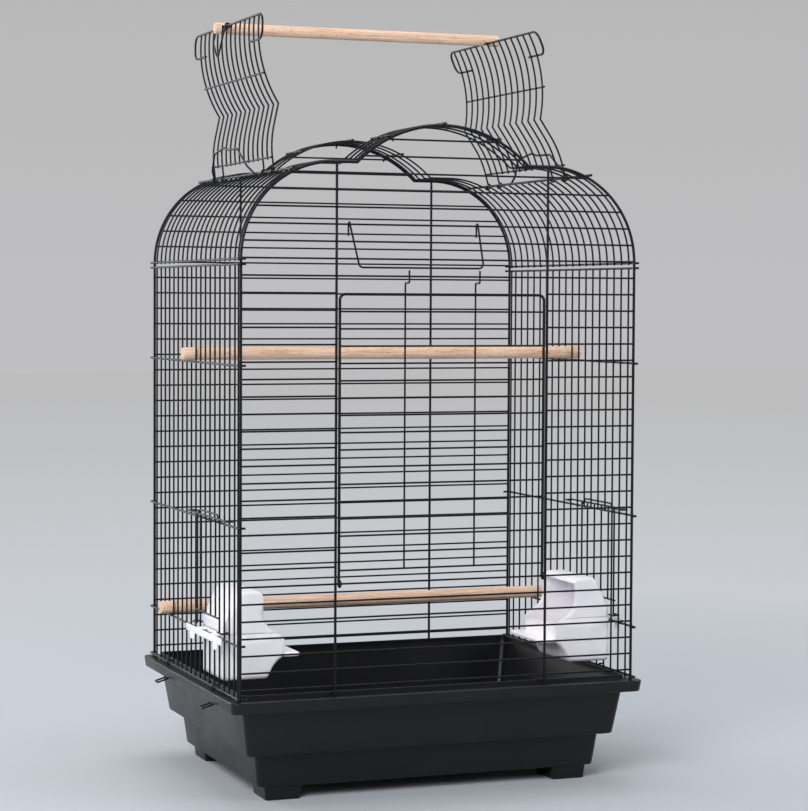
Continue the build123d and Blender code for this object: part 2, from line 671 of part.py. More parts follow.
def door_bail():
    """Bail that swings on a front bar and hangs over the door's hooks."""
    z = bar_z(BAIL_BAR)
    ring = BAR_WIRE + PIVOT_GAP
    y = -PANEL_Y - ring
    low = z - BAIL_DROP
    points = [(BAIL_TOP_X[0], y, z), (BAIL_BOTTOM_X[0], y, low),
              (BAIL_BOTTOM_X[1], y, low), (BAIL_TOP_X[1], y, z)]
    pieces = [bent_wire(points, BAIL_BEND, BAR_WIRE)]
    for x in BAIL_TOP_X:
        pieces.append(eye((x, -PANEL_Y, z), (0, 1, 0), BAR_WIRE, BAR_WIRE, *BAIL_EYE))
        pieces.append(Pos(x, y, z) * Solid.make_sphere(BAR_WIRE / 2))
        tail_y = -PANEL_Y + ring
        pieces.append(Pos(x, tail_y, z) * Solid.make_sphere(BAR_WIRE / 2))
        pieces.append(rod((x, tail_y, z), (x, tail_y, z - BAIL_TAIL), BAR_WIRE))
    return weld(pieces)


def feeder_door(side):
    """Sliding door outside a side panel: a flat field, two top hooks and two feet."""
    x = side * (SIDE_X + FEEDER_DOOR_STANDOFF)
    bars_x = x - side * (BAR_WIRE - WELD_DEPTH)
    back_x = side * (SIDE_X - BAR_WIRE - WIRE_GAP)
    top, sill = RIM_Z + FEEDER_DOOR_TOP, RIM_Z + FEEDER_DOOR_SILL
    foot = RIM_Z + FEEDER_DOOR_FOOT
    edge = FEEDER_HALF_OPENING - FEEDER_DOOR_GAP
    guide = FEEDER_HALF_OPENING + SIDE_PITCH / 2
    far = guide + SIDE_PITCH
    tail = far - 2 * SIDE_PITCH / 3
    cut_y, cut_z = edge + BAR_WIRE, sill - BAR_WIRE

    field = [rod((x, FEEDER_Y - cut_y, top), (x, FEEDER_Y + cut_y, top), BAR_WIRE),
             rod((x, FEEDER_Y - edge, sill), (x, FEEDER_Y + edge, sill), BAR_WIRE)]
    for y in [b for b in SIDE_BAR_Y if abs(b - FEEDER_Y) < edge - BAR_WIRE]:
        field.append(rod((bars_x, y, sill), (bars_x, y, top), BAR_WIRE))
    half, crest, low = FEEDER_GRIP_HALF, top + FEEDER_GRIP_RISE, top - BAR_WIRE
    grip = [(bars_x, FEEDER_Y - half, low), (bars_x, FEEDER_Y - FEEDER_GRIP_CREST, crest),
            (bars_x, FEEDER_Y + FEEDER_GRIP_CREST, crest), (bars_x, FEEDER_Y + half, low)]
    field.append(bent_wire(grip, GRIP_BEND, BAR_WIRE))

    parts = []
    for end in (-1, 1):
        y = FEEDER_Y + end * edge
        field.append(rod((bars_x, y, cut_z), (bars_x, y, top), BAR_WIRE))
        hook = [(x, cut_y, top), (x, far, top), (back_x, far, top), (back_x, tail, top)]
        parts.append(bent_wire([(px, FEEDER_Y + end * py, pz) for px, py, pz in hook],
                               BAR_WIRE, BAR_WIRE))
        foot_hook = [(x, edge - BAR_WIRE, foot), (x, guide, foot), (back_x, guide, foot),
                     (back_x, FEEDER_HALF_OPENING - BAR_WIRE / 2, foot)]
        points = [(px, FEEDER_Y + end * py, pz) for px, py, pz in foot_hook]
        upright = rod((bars_x, y, foot - BAR_WIRE / 4), (bars_x, y, cut_z), BAR_WIRE)
        parts.append(weld([bent_wire(points, BAR_WIRE, BAR_WIRE), upright]))
    return [weld(field)] + parts


def feeder_slice(side, edges, width):
    """A side outline made solid across a width: its X runs into the cage, its Y up from the rim."""
    origin = (side * (SIDE_X - BAR_WIRE / 2 - CUP_GAP), FEEDER_Y - side * width / 2, RIM_Z)
    plane = Plane(origin=origin, x_dir=(-side, 0, 0), z_dir=(0, side, 0))
    return extrude(plane * make_face(Wire([edge.edge() for edge in edges])), width)


def cup_front(wall):
    """The cup's front from its floor to its lip: a rounded foot, a waist and an upright."""
    knee = CUP_KNEE - wall
    bend = radians(45)
    low = (CUP_FLOOR_DEPTH, CUP_BOTTOM + wall)
    foot = (CUP_FLOOR_DEPTH + knee * sin(bend), CUP_BOTTOM + CUP_KNEE - knee * cos(bend))
    start = (CUP_FLOOR_DEPTH + knee, CUP_BOTTOM + CUP_KNEE)
    sill = (CUP_FRONT_DEPTH - wall, SHELF_LOW + wall)
    run, rise = sill[0] - start[0], sill[1] - start[1]
    length = sqrt(run**2 + rise**2)
    waist = ((start[0] + sill[0]) / 2 - CUP_WAIST * rise / length,
             (start[1] + sill[1]) / 2 + CUP_WAIST * run / length)
    lip = (CUP_FRONT_DEPTH - wall, CUP_LIP)
    edges = [ThreePointArc(low, foot, start), ThreePointArc(start, waist, sill), Line(sill, lip)]
    return low, lip, edges


def slab(side, depths, ys, heights):
    """A box beside a side panel, its depth measured into the cage from the cup's back."""
    face = side * (SIDE_X - BAR_WIRE / 2 - CUP_GAP)
    xs = sorted(face - side * depth for depth in depths)
    centre = ((xs[0] + xs[1]) / 2, sum(ys) / 2, RIM_Z + sum(heights) / 2)
    return Pos(*centre) * Box(xs[1] - xs[0], ys[1] - ys[0], heights[1] - heights[0])


def feeder_cup(side):
    """Moulded cup with a shelf in front and a flange that hangs outside the wires."""
    low, lip, front = cup_front(0.0)
    rear, crest = (0, CUP_BOTTOM), (CUP_TOP_DEPTH, CUP_TOP)
    outline = [Line(rear, low), *front, Line(lip, crest), Line(crest, (0, CUP_TOP)),
               Line((0, CUP_TOP), rear)]
    body = feeder_slice(side, outline, CUP_WIDTH)
    low, lip, front = cup_front(CUP_WALL)
    rear = (CUP_WALL, CUP_BOTTOM + CUP_WALL)
    above = CUP_TOP + CUP_WALL
    hollow = [Line(rear, low), *front, Line(lip, (SHELF_DEPTH, CUP_LIP)),
              Line((SHELF_DEPTH, CUP_LIP), (SHELF_DEPTH, above)),
              Line((SHELF_DEPTH, above), (CUP_WALL, above)), Line((CUP_WALL, above), rear)]
    body = body - feeder_slice(side, hollow, CUP_WIDTH - 2 * CUP_WALL)

    half = CUP_WIDTH / 2
    shelf = slab(side, (CUP_FRONT_DEPTH - CUP_WALL, SHELF_DEPTH), (FEEDER_Y - half, FEEDER_Y + half),
                 (SHELF_LOW, SHELF_HIGH))
    front = sorted(shelf.edges().filter_by(Axis.Z), key=lambda edge: abs(edge.center().X))[:2]
    body = body + fillet(front, SHELF_CORNER)

    sill = SIDE_CROSS_HEIGHTS[1] + CROSS_WIRE / 2 + SEAT_GAP
    top = sill + BRIDGE_THICKNESS
    reach = FLANGE_STANDOFF
    for end in (-1, 1):
        middle = FEEDER_Y + end * BRIDGE_OFFSET
        ys = (middle - BRIDGE_WIDTH / 2, middle + BRIDGE_WIDTH / 2)
        body = body + slab(side, (-reach, CUP_WALL), ys, (sill, top))
        tab = FEEDER_Y + end * FLANGE_TAB_OFFSET
        body = body + slab(side, (-reach - FLANGE_THICKNESS, -reach),
                           (tab - FLANGE_TAB, tab + FLANGE_TAB),
                           (top - FLANGE_HEIGHT - FLANGE_TAB, top - FLANGE_HEIGHT))
    flange_y = (FEEDER_Y - FLANGE_WIDTH / 2, FEEDER_Y + FLANGE_WIDTH / 2)
    flange = slab(side, (-reach - FLANGE_THICKNESS, -reach), flange_y, (top - FLANGE_HEIGHT, top))
    return (body + flange).solid()


def feeder_hood(side):
    """Hood that stands on the cup: a sloping back, a top and two cheeks, open in front."""
    base = CUP_TOP + SEAT_GAP
    mouth = (HOOD_MOUTH_DEPTH, HOOD_MOUTH_HEIGHT)
    brow = (HOOD_MOUTH_DEPTH, HOOD_TOP - HOOD_FRONT_RADIUS)
    crown = (HOOD_MOUTH_DEPTH - HOOD_FRONT_RADIUS, HOOD_TOP)
    crest = (HOOD_BACK_DEPTH + HOOD_TOP - HOOD_CREST, HOOD_TOP)
    back = (HOOD_BACK_DEPTH, HOOD_CREST)
    shoulder_point = (0, HOOD_BACK_HEIGHT)
    foot = (CUP_TOP_DEPTH, base)
    hollow_x = (foot[0] + mouth[0]) / 2 - HOOD_BOW
    hollow_z = (foot[1] + mouth[1]) / 2 - HOOD_BOW
    round_x = brow[0] - HOOD_FRONT_RADIUS * (1 - cos(radians(45)))
    round_z = crown[1] - HOOD_FRONT_RADIUS * (1 - cos(radians(45)))
    outline = [Line((0, base), foot), ThreePointArc(foot, (hollow_x, hollow_z), mouth),
               Line(mouth, brow), Line(brow, (round_x, round_z)), Line((round_x, round_z), crown),
               Line(crown, crest), Line(crest, back), Line(back, shoulder_point),
               Line(shoulder_point, (0, base))]
    cheek = feeder_slice(side, outline, CUP_WALL)
    shift = (CUP_WIDTH - CUP_WALL) / 2
    wall = CUP_WALL
    under = HOOD_TOP - wall
    strip = [(0, base), shoulder_point, back, crest, crown, (round_x, round_z), brow,
             (brow[0] - wall, brow[1]), (crown[0], under), (crest[0] + wall / 2, under),
             (back[0] + wall, HOOD_CREST - wall / 2), (wall, HOOD_BACK_HEIGHT), (wall, base)]
    edges = [Line(a, b) for a, b in zip(strip, strip[1:] + strip[:1])]
    body = feeder_slice(side, edges, CUP_WIDTH - 2 * wall)
    for end in (-1, 1):
        body = body + Pos(0, end * shift, 0) * cheek
    return body.solid()


def frustum(length, depth, taper, height, corner, z_top):
    """A tapered block that narrows downwards, with rounded corners."""
    top = Plane.XY.offset(z_top) * RectangleRounded(length, depth, corner)
    low = Plane.XY.offset(z_top - height)
    bottom = low * RectangleRounded(length - 2 * taper, depth - 2 * taper, corner)
    return loft([top, bottom])


def base_tray():
    """Stepped tray with a turned-down rim, a lip inside the wires and four feet."""
    length, depth = TRAY_LENGTH, TRAY_DEPTH
    inset = UPPER_WALL_INSET
    wall = TRAY_WALL
    upper_top = RIM_Z - wall
    upper = (length - 2 * inset, depth - 2 * inset)
    upper_low = RIM_Z - RIM_HEIGHT - UPPER_WALL_HEIGHT
    upper_height = upper_top - upper_low
    lower = (upper[0] - 2 * (WALL_TAPER + LOWER_WALL_STEP),
             upper[1] - 2 * (WALL_TAPER + LOWER_WALL_STEP))
    lower_low = upper_low - LOWER_WALL_HEIGHT
    corner = RIM_CORNER - wall

    rim = extrude(Plane.XY.offset(RIM_Z - RIM_HEIGHT) * RectangleRounded(length, depth, RIM_CORNER),
                  RIM_HEIGHT)
    groove = extrude(Plane.XY.offset(RIM_Z - RIM_HEIGHT) *
                     RectangleRounded(length - 2 * wall, depth - 2 * wall, corner),
                     RIM_HEIGHT - wall)
    body = rim - groove
    body = body + frustum(*upper, WALL_TAPER, upper_height, corner, upper_top)
    body = body + frustum(*lower, WALL_TAPER / 2, LOWER_WALL_HEIGHT, corner, upper_low)
    lip = (upper[0] - 2 * wall + 2 * LIP_WALL, upper[1] - 2 * wall + 2 * LIP_WALL)
    body = body + extrude(Plane.XY.offset(upper_top) *
                          RectangleRounded(*lip, corner), LIP_HEIGHT + wall)

    inner_upper = (upper[0] - 2 * wall, upper[1] - 2 * wall)
    inner_lower = (lower[0] - 2 * wall, lower[1] - 2 * wall)
    floor = lower_low + wall
    ledge = upper_low + wall
    mouth = extrude(Plane.XY.offset(upper_top) *
                    RectangleRounded(*inner_upper, corner), LIP_HEIGHT + 2 * wall)
    body = body - mouth
    body = body - frustum(*inner_upper, WALL_TAPER, upper_top - ledge, corner, upper_top)
    body = body - frustum(*inner_lower, WALL_TAPER / 2, ledge - floor, corner, ledge)

    for sx in (-1, 1):
        for sy in (-1, 1):
            x = sx * (lower[0] / 2 - WALL_TAPER / 2 - FOOT_INSETS[0] - FOOT_LENGTH / 2)
            y = sy * (lower[1] / 2 - WALL_TAPER / 2 - FOOT_INSETS[1] - FOOT_WIDTH / 2)
            foot = frustum(FOOT_LENGTH, FOOT_WIDTH, FOOT_TAPER, lower_low, FOOT_CORNER, lower_low)
            body = body + Pos(x, y, 0) * foot
            slot = Pos(sx * CLIP_X, sy * CLIP_Y, RIM_Z) * Cylinder(CLIP_SLOT / 2, RIM_HEIGHT)
            body = body - slot
    return body.solid()


def tray_clip(side, end):
    """Swivelling wire clip through the rim: an arm above it and a finger ring below."""
    x, y = side * CLIP_X, end * CLIP_Y
    arm_z = RIM_Z + SIDE_CROSS_HEIGHTS[0] + (CROSS_WIRE + BAR_WIRE) / 2 + WIRE_GAP
    ring_z = RIM_Z - CLIP_DROP
    low_z = ring_z - CLIP_DROOP
    half = CLIP_RING_WIDTH / 2
    far = x + side * CLIP_RING_LENGTH
    points = [(x - side * CLIP_ARM, y, arm_z), (x, y, arm_z), (x, y, ring_z),
              (x, y - half, ring_z), (far, y - half, low_z), (far, y + half, low_z),
              (x, y + half, ring_z), (x, y + BAR_WIRE + PIVOT_GAP, ring_z)]
    return bent_wire(points, CLIP_BEND, BAR_WIRE)


def mirrored(shape):
    """The right-hand copy of a left-hand node."""
    if isinstance(shape, list):
        return [mirror(solid, about=Plane.YZ) for solid in shape]
    return mirror(shape, about=Plane.YZ)


def nodes():
    """Every node's name and its solids."""
    made = {
        "base_tray": base_tray(),
        "front_panel": front_panel(),
        "back_panel": back_panel(),
        "front_roof_strip": roof_strip(-1),
        "back_roof_strip": roof_strip(1),
        "front_door": front_door(),
        "door_bail": door_bail(),
        "play_perch": play_perch(),
        "upper_perch": side_perch(UPPER_PERCH_Y, 3),
        "lower_perch": side_perch(LOWER_PERCH_Y, 1),
        "roof_latch": roof_latch(),
    }
    for name, side in (("left", -1), ("right", 1)):
        made[f"{name}_roof_flap"] = roof_flap(side)
        made[f"{name}_flap_stay"] = flap_stay(side)
    pairs = {
        "{}_side_panel": side_panel(-1),
        "{}_shoulder": shoulder(-1),
        "{}_feeder_door": feeder_door(-1),
        "{}_feeder_cup": feeder_cup(-1),
        "{}_feeder_hood": feeder_hood(-1),
        "tray_clip_{}_front": tray_clip(-1, -1),
        "tray_clip_{}_back": tray_clip(-1, 1),
    }
    for pattern, shape in pairs.items():
        made[pattern.format("left")] = shape
        made[pattern.format("right")] = mirrored(shape)
    return made


def main():
    os.makedirs("parts", exist_ok=True)
    for name, shape in nodes().items():
        solid = Compound(shape) if isinstance(shape, list) else shape
        export_step(solid, os.path.join("parts", f"{name}.step"))


main()
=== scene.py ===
# %% [markdown]
# # A wire bird cage with an open play top
#
# This lesson dresses a bird cage that was drawn as solids first. The wires, the door and
# the roof flaps come from the drawing as they are. The moulded tray, the two feeders and
# the wooden perches are made again here with the soft edges that moulding and turning
# give. Everything is in metres: +Z up, +X right, and the front door faces -Y.

import bmesh
import bpy
import numpy as np
from mathutils import Matrix, Vector


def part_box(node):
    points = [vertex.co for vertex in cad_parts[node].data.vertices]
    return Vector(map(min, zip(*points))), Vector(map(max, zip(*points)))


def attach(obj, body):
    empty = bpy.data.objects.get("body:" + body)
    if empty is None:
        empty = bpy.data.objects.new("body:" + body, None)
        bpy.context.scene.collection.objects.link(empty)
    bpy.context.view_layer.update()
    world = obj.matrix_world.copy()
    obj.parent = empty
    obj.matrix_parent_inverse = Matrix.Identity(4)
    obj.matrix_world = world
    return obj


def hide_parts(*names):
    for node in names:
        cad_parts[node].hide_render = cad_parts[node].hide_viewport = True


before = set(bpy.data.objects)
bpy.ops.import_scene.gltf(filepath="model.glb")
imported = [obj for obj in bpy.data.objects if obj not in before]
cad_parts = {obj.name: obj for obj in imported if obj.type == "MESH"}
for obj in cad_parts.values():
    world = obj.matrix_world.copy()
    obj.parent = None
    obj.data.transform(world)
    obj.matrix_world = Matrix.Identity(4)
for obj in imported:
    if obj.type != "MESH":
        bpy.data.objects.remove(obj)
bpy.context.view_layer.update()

MM = 0.001

# %% [markdown]
# ## The camera
#
# The camera stands a little to the left of the front and looks slightly down through a
# long lens. The place, the turn and the lens below put every corner of the cage where the
# photograph has it. They were worked out from the crossings of the wires, which is surer
# than moving a camera by eye.

# %% Camera
CAMERA_PLACE = Vector((-0.9332, -2.4876, 0.5278))
CAMERA_AZIMUTH = np.radians(20.984)
CAMERA_PITCH = np.radians(-2.562)
CAMERA_ROLL = np.radians(0.289)
SENSOR_MM = 36.0
LENS_MM = 104.82


def camera_axes(azimuth, pitch, roll):
    """Right, up and backward directions for a heading right of +Y, a tilt and a roll."""
    forward = np.array([np.sin(azimuth) * np.cos(pitch), np.cos(azimuth) * np.cos(pitch),
                        np.sin(pitch)])
    right = np.array([np.cos(azimuth), -np.sin(azimuth), 0.0])
    up = np.cross(right, forward)
    rolled_right = np.cos(roll) * right + np.sin(roll) * up
    rolled_up = -np.sin(roll) * right + np.cos(roll) * up
    return rolled_right, rolled_up, -forward


camera_data = bpy.data.cameras.new("studio_camera")
camera_data.lens = LENS_MM
camera_data.sensor_width = SENSOR_MM
camera = bpy.data.objects.new("studio_camera", camera_data)
bpy.context.scene.collection.objects.link(camera)
turn = Matrix(np.array(camera_axes(CAMERA_AZIMUTH, CAMERA_PITCH, CAMERA_ROLL)).T.tolist())
camera.matrix_world = Matrix.Translation(CAMERA_PLACE) @ turn.to_4x4()
bpy.context.scene.camera = camera
bpy.context.scene.view_settings.view_transform = "Standard"
print("camera at", [round(v, 3) for v in CAMERA_PLACE])

# %% [markdown]
# ## Small helpers
#
# Three small tools are used all through the lesson: one turns a hex colour into the linear
# numbers that Blender works in, one adds a shader node with its settings and links, and
# one puts arrays of points and faces into a mesh.


# %% Colour, node and mesh helpers
def linear(hex_colour):
    """sRGB to linear: c/12.92 below 0.04045, else ((c+0.055)/1.055) to the power 2.4."""
    srgb = np.array([int(hex_colour[i:i + 2], 16) for i in (1, 3, 5)]) / 255.0
    value = np.where(srgb <= 0.04045, srgb / 12.92, ((srgb + 0.055) / 1.055) ** 2.4)
    return (*value.tolist(), 1.0)


def add_node(tree, kind, values=None, **settings):
    """Adds one node, sets its properties, and fills or links its inputs."""
    made = tree.nodes.new(kind)
    for name, value in settings.items():
        setattr(made, name, value)
    for name, value in (values or {}).items():
        socket = made.inputs[name]
        if isinstance(value, bpy.types.NodeSocket):
            tree.links.new(value, socket)
        else:
            socket.default_value = value
    return made


def new_material(name):
    """An empty node material with its output."""
    material = bpy.data.materials.new(name)
    material.use_nodes = True
    tree = material.node_tree
    tree.nodes.clear()
    return material, tree, tree.nodes.new("ShaderNodeOutputMaterial")


def colour_ramp(tree, factor, stops):
    """A colour ramp through (place, hex colour) stops."""
    ramp = add_node(tree, "ShaderNodeValToRGB", {"Fac": factor})
    elements = ramp.color_ramp.elements
    while len(elements) < len(stops):
        elements.new(0.5)
    for element, (place, colour) in zip(elements, stops):
        element.position = place
        element.color = linear(colour)
    return ramp.outputs["Color"]


def make_piece(name, points, faces, material, body, slot, stands_for=()):
    """Puts arrays of points and faces into a mesh and lets it ride on a body."""
    mesh = bpy.data.meshes.new(name)
    mesh.from_pydata(np.asarray(points).tolist(), [], faces)
    mesh.polygons.foreach_set("use_smooth", np.full(len(mesh.polygons), True))
    mesh.materials.append(material)
    piece = bpy.data.objects.new(name, mesh)
    bpy.context.scene.collection.objects.link(piece)
    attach(piece, body)
    if stands_for:
        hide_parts(*stands_for)
    print(name, "points", len(mesh.vertices), "faces", len(mesh.polygons))
    return piece


# %% [markdown]
# ## Enamelled steel wire
#
# Cage wire is mild steel, spot-welded and then dipped or sprayed with black enamel. To the
# eye it is near black with a soft sheen: the enamel flows into a faintly uneven skin. One
# plain black would look like a hole in the picture, so one noise of a few millimetres
# moves the tint, the roughness and a fine bump together. The specular level is half the
# usual one, which matched the photograph better than the IOR alone.

# %% Black enamel on steel wire
ENAMEL_RIPPLE_MM = 2.5
enamel, tree, out = new_material("black_enamel_on_steel_wire")
coords = add_node(tree, "ShaderNodeTexCoord").outputs["Object"]
ripple = add_node(tree, "ShaderNodeTexNoise",
                  {"Vector": coords, "Scale": 1 / (ENAMEL_RIPPLE_MM * MM), "Detail": 3.0})
sheen = add_node(tree, "ShaderNodeMapRange",
                 {"Value": ripple.outputs["Fac"], "To Min": 0.26, "To Max": 0.44})
tint = colour_ramp(tree, ripple.outputs["Fac"], [(0.25, "#08080a"), (0.75, "#0f0f12")])
skin = add_node(tree, "ShaderNodeBump",
                {"Height": ripple.outputs["Fac"], "Strength": 0.35, "Distance": 0.2 * MM})
coat = add_node(tree, "ShaderNodeBsdfPrincipled",
                {"Base Color": tint, "Roughness": sheen.outputs["Result"],
                 "Normal": skin.outputs["Normal"], "IOR": 1.5, "Specular IOR Level": 0.25})
tree.links.new(coat.outputs["BSDF"], out.inputs["Surface"])
print(enamel.name, "ripple", ENAMEL_RIPPLE_MM, "mm")

# %% [markdown]
# ## Moulded black styrene
#
# The tray is injection-moulded high-impact polystyrene. It is almost black, with a low
# gloss that catches the studio's soft light on the side that faces it. Handling leaves
# faint dull patches, made by a wide noise in the roughness, and the mould's fine texture is
# a small bump.

# %% Black moulded styrene
FLOW_MM = 60.0
TEXTURE_MM = 0.9
styrene, tree, out = new_material("black_moulded_styrene")
coords = add_node(tree, "ShaderNodeTexCoord").outputs["Object"]
flow = add_node(tree, "ShaderNodeTexNoise",
                {"Vector": coords, "Scale": 1 / (FLOW_MM * MM), "Detail": 5.0, "Roughness": 0.6})
grain = add_node(tree, "ShaderNodeTexNoise",
                 {"Vector": coords, "Scale": 1 / (TEXTURE_MM * MM), "Detail": 2.0})
sheen = add_node(tree, "ShaderNodeMapRange",
                 {"Value": flow.outputs["Fac"], "From Min": 0.3, "From Max": 0.7,
                  "To Min": 0.30, "To Max": 0.44})
tint = colour_ramp(tree, flow.outputs["Fac"], [(0.3, "#0c0d0f"), (0.7, "#121316")])
skin = add_node(tree, "ShaderNodeBump",
                {"Height": grain.outputs["Fac"], "Strength": 0.12, "Distance": 0.1 * MM})
coat = add_node(tree, "ShaderNodeBsdfPrincipled",
                {"Base Color": tint, "Roughness": sheen.outputs["Result"],
                 "Normal": skin.outputs["Normal"], "IOR": 1.55, "Specular IOR Level": 0.27})
tree.links.new(coat.outputs["BSDF"], out.inputs["Surface"])
print(styrene.name, "patches", FLOW_MM, "mm, texture", TEXTURE_MM, "mm")

# %% [markdown]
# ## Milky polypropylene
#
# The feeders are thin natural polypropylene. Light enters it and comes out nearby, so its
# edges glow and its shadows are soft. A little subsurface scattering does that, with the
# scattering length of about the wall's own thickness.

# %% Milky polypropylene
SCATTER_MM = 2.0
CLOUD_MM = 25.0
milky, tree, out = new_material("milky_moulded_polypropylene")
coords = add_node(tree, "ShaderNodeTexCoord").outputs["Object"]
cloud = add_node(tree, "ShaderNodeTexNoise",
                 {"Vector": coords, "Scale": 1 / (CLOUD_MM * MM), "Detail": 3.0})
tint = colour_ramp(tree, cloud.outputs["Fac"], [(0.3, "#f3f0f7"), (0.7, "#faf8fc")])
sheen = add_node(tree, "ShaderNodeMapRange",
                 {"Value": cloud.outputs["Fac"], "To Min": 0.30, "To Max": 0.42})
coat = add_node(tree, "ShaderNodeBsdfPrincipled",
                {"Base Color": tint, "Roughness": sheen.outputs["Result"], "IOR": 1.49,
                 "Subsurface Weight": 0.12, "Subsurface Scale": SCATTER_MM * MM,
                 "Subsurface Radius": (1.0, 0.95, 0.95)})
tree.links.new(coat.outputs["BSDF"], out.inputs["Surface"])
print(milky.name, "scatters over", SCATTER_MM, "mm")

# %% [markdown]
# ## Beech dowel
#
# The perches are turned beech, sanded and left bare. Beech is pale pinkish tan with fine
# grain along the dowel and short darker flecks. A picture of wood could be wrapped round
# them, but two noises stretched along X give the grain and the flecks without a seam.

# %% Bare beech
GRAIN_MM = 1.6
GRAIN_STRETCH = 0.03
FLECK_MM = 0.9
FLECK_STRETCH = 0.16
beech, tree, out = new_material("bare_beech_dowel")
coords = add_node(tree, "ShaderNodeTexCoord").outputs["Object"]
along = add_node(tree, "ShaderNodeMapping", {"Vector": coords, "Scale": (GRAIN_STRETCH, 1, 1)})
grain = add_node(tree, "ShaderNodeTexNoise",
                 {"Vector": along.outputs["Vector"], "Scale": 1 / (GRAIN_MM * MM), "Detail": 4.0,
                  "Roughness": 0.65, "Distortion": 0.4})
short = add_node(tree, "ShaderNodeMapping", {"Vector": coords, "Scale": (FLECK_STRETCH, 1, 1)})
fleck = add_node(tree, "ShaderNodeTexNoise",
                 {"Vector": short.outputs["Vector"], "Scale": 1 / (FLECK_MM * MM), "Detail": 2.0})
grain_tint = colour_ramp(tree, grain.outputs["Fac"],
                         [(0.30, "#be9578"), (0.50, "#dfbb9f"), (0.72, "#eed6c3")])
fleck_tint = colour_ramp(tree, fleck.outputs["Fac"], [(0.30, "#bd977c"), (0.42, "#ffffff")])
tint = add_node(tree, "ShaderNodeMix", {0: 0.6, 6: grain_tint, 7: fleck_tint},
                data_type="RGBA", blend_type="MULTIPLY")
skin = add_node(tree, "ShaderNodeBump",
                {"Height": grain.outputs["Fac"], "Strength": 0.4, "Distance": 0.15 * MM})
coat = add_node(tree, "ShaderNodeBsdfPrincipled",
                {"Base Color": tint.outputs[2], "Roughness": 0.62,
                 "Normal": skin.outputs["Normal"], "IOR": 1.5})
tree.links.new(coat.outputs["BSDF"], out.inputs["Surface"])
print(beech.name, "grain", GRAIN_MM, "mm, flecks", FLECK_MM, "mm")


# %% [markdown]
# ## Grids and rounded outlines
#
# A moulded shape is a row of rings, each a rounded rectangle, joined ring to ring. The
# rings follow a profile whose corners are rounded, which is what a mould's fillets do.

# %% Grid and ring helpers
def grid_faces(rows, columns, close_rows=False, close_columns=False, start=0):
    """Quads between neighbouring rows and columns, as a list of four indices each."""
    row = np.arange(rows if close_rows else rows - 1)
    column = np.arange(columns if close_columns else columns - 1)
    r, c = [a.ravel() for a in np.meshgrid(row, column, indexing="ij")]
    next_r, next_c = (r + 1) % rows, (c + 1) % columns
    quads = np.stack([r * columns + c, r * columns + next_c,
                      next_r * columns + next_c, next_r * columns + c], axis=1)
    return (quads + start).tolist()


def rounded_ring(half_x, half_y, corner, arc_steps=10, side_steps=6):
    """Points round a rectangle whose corners are quarter circles of the given radius."""
    angles = np.linspace(0, np.pi / 2, arc_steps)
    parts = []
    for k, (sx, sy) in enumerate(((1, 1), (-1, 1), (-1, -1), (1, -1))):
        centre = np.array([sx * (half_x - corner), sy * (half_y - corner)])
        turned = angles + k * np.pi / 2
        arc = centre + corner * np.stack([np.cos(turned), np.sin(turned)], axis=1)
        parts.append(arc)
    ring = []
    for k, arc in enumerate(parts):
        ring.append(arc)
        after = parts[(k + 1) % 4][0]
        steps = np.linspace(0, 1, side_steps + 2)[1:-1, None]
        ring.append(arc[-1] + (after - arc[-1]) * steps)
    return np.concatenate(ring)


def soften(points, radius, steps=4):
    """Rounds the inner corners of a polyline with quadratic curves that start radius away."""
    points = np.asarray(points, float)
    before, here, after = points[:-2], points[1:-1], points[2:]
    reach = np.broadcast_to(np.asarray(radius, float), len(here))[:, None]
    back, ahead = before - here, after - here
    back_length = np.linalg.norm(back, axis=1, keepdims=True)
    ahead_length = np.linalg.norm(ahead, axis=1, keepdims=True)
    start = here + back / back_length * np.minimum(reach, back_length * 0.48)
    end = here + ahead / ahead_length * np.minimum(reach, ahead_length * 0.48)
    t = np.linspace(0, 1, steps)[None, :, None]
    curve = ((1 - t) ** 2 * start[:, None] + 2 * t * (1 - t) * here[:, None]
             + t ** 2 * end[:, None])
    return np.concatenate([points[:1], curve.reshape(-1, points.shape[1]), points[-1:]])


def loft(profile, corner_of, centre=(0.0, 0.0)):
    """Rings of rounded rectangles along a profile of (half X, half Y, Z), capped at both ends."""
    rings = []
    for half_x, half_y, z in profile:
        ring = rounded_ring(half_x, half_y, corner_of(half_x))
        rings.append(np.column_stack([ring + centre, np.full(len(ring), z)]))
    points = np.concatenate(rings)
    columns = len(rings[0])
    faces = grid_faces(len(rings), columns, close_columns=True)
    faces.append(list(range(columns))[::-1])
    faces.append(list(range(len(points) - columns, len(points))))
    return points, faces


def joined(shapes):
    """One list of points and faces from several."""
    points, faces, offset = [], [], 0
    for shape_points, shape_faces in shapes:
        points.append(shape_points)
        faces += [[i + offset for i in face] for face in shape_faces]
        offset += len(shape_points)
    return np.concatenate(points), faces


def face_outwards(piece):
    """Joins points that coincide and turns the faces of a new piece outwards."""
    mesh = bmesh.new()
    mesh.from_mesh(piece.data)
    bmesh.ops.remove_doubles(mesh, verts=mesh.verts, dist=0.01 * MM)
    bmesh.ops.recalc_face_normals(mesh, faces=mesh.faces)
    mesh.to_mesh(piece.data)
    mesh.free()


# %% [markdown]
# ## The tray
#
# The tray is one thin moulding: a rim turned down all round, a raised lip that keeps the
# wires from sliding, a wall that leans in, a step, a second wall and a floor. Its profile
# is drawn once, from the floor over the rim and back underneath. It is carried round the
# rounded rectangle and closed across the floor.

# %% Tray profile
RIM_HALF = np.array([0.235, 0.181])
RIM_Z = 0.1125


def at(inset_mm, height_mm):
    """A profile point: how far it stands in from the rim's edge, and its height."""
    inset = inset_mm * MM
    return [RIM_HALF[0] - inset, RIM_HALF[1] - inset, height_mm * MM]


